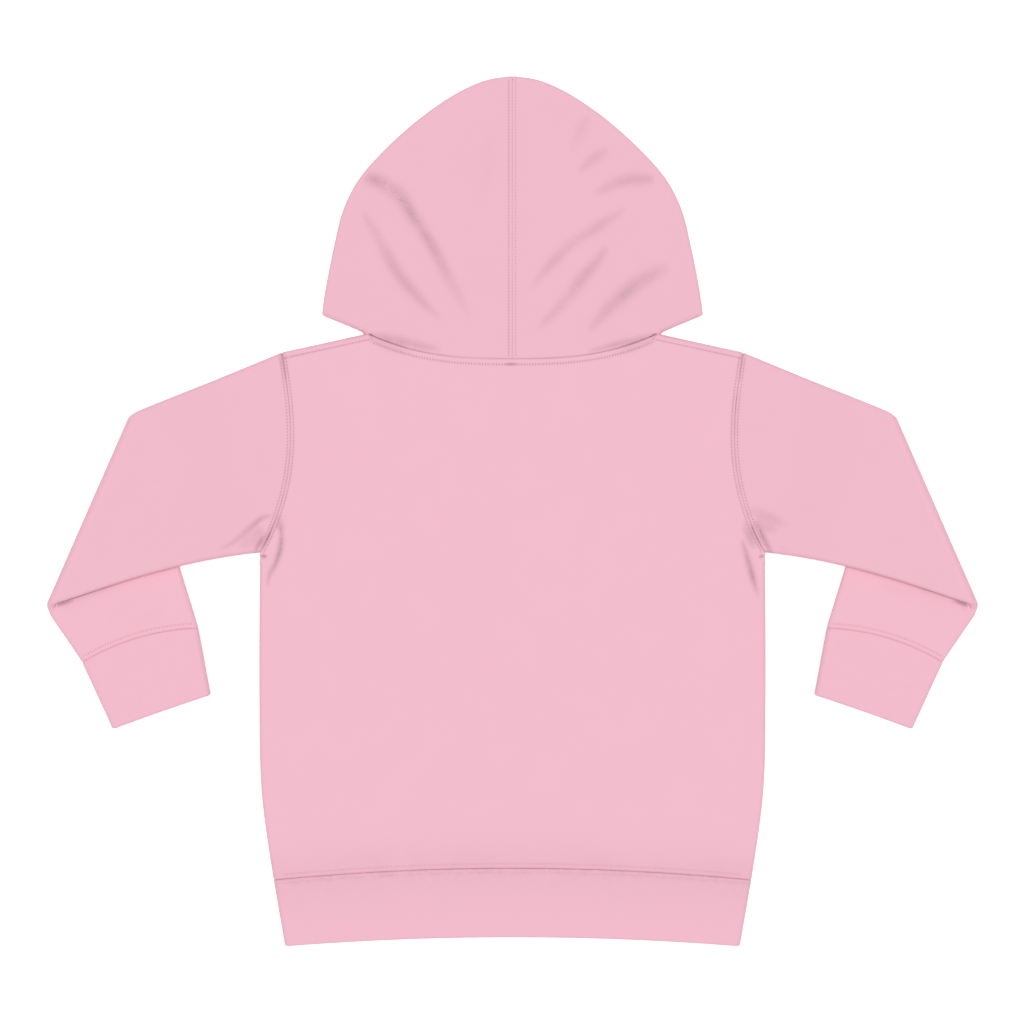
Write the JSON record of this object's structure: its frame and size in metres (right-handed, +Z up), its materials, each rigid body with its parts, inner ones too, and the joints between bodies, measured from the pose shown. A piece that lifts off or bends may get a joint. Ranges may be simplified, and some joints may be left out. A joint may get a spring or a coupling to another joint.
{
  "type": "toddler hoodie",
  "caption": "Pullover hoodie for a toddler, laid flat with its back up and its sleeves folded under, with a hood of two panels and rib cuffs and waistband.",
  "frame": {"origin": "centre of the bounding box at the surface that the garment lies on", "axes": "+X to the right as one looks down on the back, +Y towards the top of the hood, +Z up from the surface"},
  "size_m": [0.5854, 0.5475, 0.012],
  "materials": {
    "fleece": "brushed knit fleece, matt",
    "rib": "fine rib knit, matt"
  },
  "bodies": {
    "root": {"body_front": "fleece", "body_back": "fleece", "hood_left": "fleece", "hood_right": "fleece", "sleeve_left": "fleece", "sleeve_right": "fleece", "cuff_left": "rib", "cuff_right": "rib", "waistband": "rib"}
  },
  "joints": []
}
